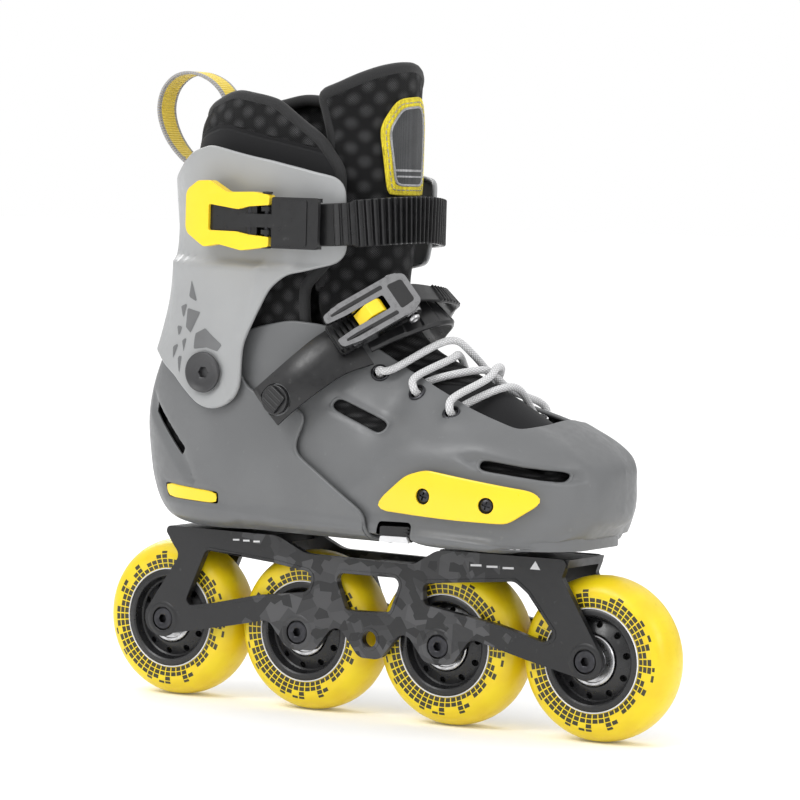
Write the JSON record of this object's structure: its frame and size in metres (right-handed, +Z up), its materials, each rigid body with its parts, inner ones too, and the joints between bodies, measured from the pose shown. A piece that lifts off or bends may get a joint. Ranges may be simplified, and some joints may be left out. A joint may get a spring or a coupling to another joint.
{
  "type": "inline skate",
  "caption": "Extendable inline skate with a hinged cuff, ratchet instep strap, lever buckle, laced toe section that slides forward to change size, and a row of spinning wheels.",
  "frame": {"origin": "on the ground under the middle of the wheelbase, in the plane of the wheels", "axes": "+X towards the toe, +Y towards the inner side of this right-foot skate, +Z up"},
  "size_m": [0.291, 0.1069, 0.2895],
  "materials": {
    "urethane": "satin",
    "core_black": "satin",
    "bearing_steel": "satin",
    "frame_black": "satin",
    "bolt_black": "satin",
    "steel": "satin",
    "shell_grey": "satin",
    "cuff_grey": "semi-gloss",
    "yellow_plastic": "semi-gloss",
    "black_plastic": "satin",
    "mesh_fabric": "woven mesh",
    "webbing": "woven",
    "badge_fabric": "embroidered",
    "lace_white": "braided",
    "foam_black": "brushed",
    "dark_chrome": "polished",
    "light_grey": "satin"
  },
  "bodies": {
    "chassis": {"frame": "frame_black", "axle_1": "bolt_black", "axle_2": "bolt_black", "axle_3": "bolt_black", "axle_4": "bolt_black", "frame_bolt_rear": "steel", "frame_bolt_front": "steel", "heel_shell": "shell_grey", "heel_insert_outer": "yellow_plastic", "heel_insert_inner": "yellow_plastic", "cuff_pivot_outer": "black_plastic", "cuff_pivot_inner": "black_plastic", "liner": "mesh_fabric", "tongue": "mesh_fabric", "insole": "foam_black"},
    "wheel_1": {"tyre_1": "urethane", "hub_1": "core_black", "bearing_1_outer": "bearing_steel", "bearing_1_inner": "bearing_steel"},
    "wheel_2": {"tyre_2": "urethane", "hub_2": "core_black", "bearing_2_outer": "bearing_steel", "bearing_2_inner": "bearing_steel"},
    "wheel_3": {"tyre_3": "urethane", "hub_3": "core_black", "bearing_3_outer": "bearing_steel", "bearing_3_inner": "bearing_steel"},
    "wheel_4": {"tyre_4": "urethane", "hub_4": "core_black", "bearing_4_outer": "bearing_steel", "bearing_4_inner": "bearing_steel"},
    "cuff": {"cuff": "cuff_grey", "buckle_base": "black_plastic", "lever_pin": "steel", "cuff_ladder": "black_plastic", "ladder_screw": "steel", "pull_loop": "webbing", "tongue_badge": "badge_fabric"},
    "buckle_lever": {"buckle_lever": "yellow_plastic", "catch_pin": "steel"},
    "buckle_catch": {"buckle_catch": "black_plastic"},
    "toe": {"toe_shell": "shell_grey", "toe_plate_outer": "yellow_plastic", "toe_plate_inner": "yellow_plastic", "plate_screw_outer_1": "bolt_black", "plate_screw_outer_2": "bolt_black", "plate_screw_inner_1": "bolt_black", "plate_screw_inner_2": "bolt_black", "lace": "lace_white", "strap_arm": "black_plastic", "strap_adjuster": "black_plastic", "ratchet_base": "black_plastic", "ratchet_pin": "steel", "trigger_pin": "steel", "instep_ladder": "black_plastic", "instep_pad": "black_plastic", "instep_rivet": "steel"},
    "size_button": {"size_button": "light_grey"},
    "ratchet_lever": {"ratchet_lever": "dark_chrome"},
    "ratchet_trigger": {"ratchet_trigger": "yellow_plastic"}
  },
  "joints": [
    {"name": "wheel_1_spin", "type": "hinge", "parent": "chassis", "child": "wheel_1", "pos_m": [-0.1095, 0, 0.036], "axis": [0, 1, 0], "continuous": true},
    {"name": "wheel_2_spin", "type": "hinge", "parent": "chassis", "child": "wheel_2", "pos_m": [-0.0365, 0, 0.036], "axis": [0, 1, 0], "continuous": true},
    {"name": "wheel_3_spin", "type": "hinge", "parent": "chassis", "child": "wheel_3", "pos_m": [0.0365, 0, 0.036], "axis": [0, 1, 0], "continuous": true},
    {"name": "wheel_4_spin", "type": "hinge", "parent": "chassis", "child": "wheel_4", "pos_m": [0.1095, 0, 0.036], "axis": [0, 1, 0], "continuous": true},
    {"name": "cuff_flex", "type": "hinge", "parent": "chassis", "child": "cuff", "pos_m": [-0.073, 0, 0.1515], "axis": [0, 1, 0], "range_deg": [-3, 10], "stiffness_Nm_per_rad": 8, "deforming": ["tongue"]},
    {"name": "buckle_open", "type": "hinge", "parent": "cuff", "child": "buckle_lever", "pos_m": [-0.037, -0.049, 0.22], "axis": [0, 0, 1], "range_deg": [0, 110]},
    {"name": "catch_swing", "type": "hinge", "parent": "buckle_lever", "child": "buckle_catch", "pos_m": [-0.046, -0.049, 0.22], "axis": [0, 0, 1], "range_deg": [-110, 0]},
    {"name": "toe_extend", "type": "slide", "parent": "chassis", "child": "toe", "axis": [1, 0, 0], "range_m": [0, 0.02], "deforming": ["liner"]},
    {"name": "button_press", "type": "slide", "parent": "toe", "child": "size_button", "axis": [0, 1, 0], "range_m": [0, 0.0025], "stiffness_N_per_m": 900},
    {"name": "ratchet_lift", "type": "hinge", "parent": "toe", "child": "ratchet_lever", "pos_m": [0.01451, -0.01936, 0.18732], "axis": [-0.6667, 0.0453, 0.7439], "range_deg": [0, 35]},
    {"name": "trigger_squeeze", "type": "hinge", "parent": "toe", "child": "ratchet_trigger", "pos_m": [0.00513, -0.02806, 0.17944], "axis": [-0.6667, 0.0453, 0.7439], "range_deg": [0, 12], "stiffness_Nm_per_rad": 0.05}
  ],
  "couplings": [
    {"joint": "catch_swing", "follows": "buckle_open", "ratio": -1}
  ]
}
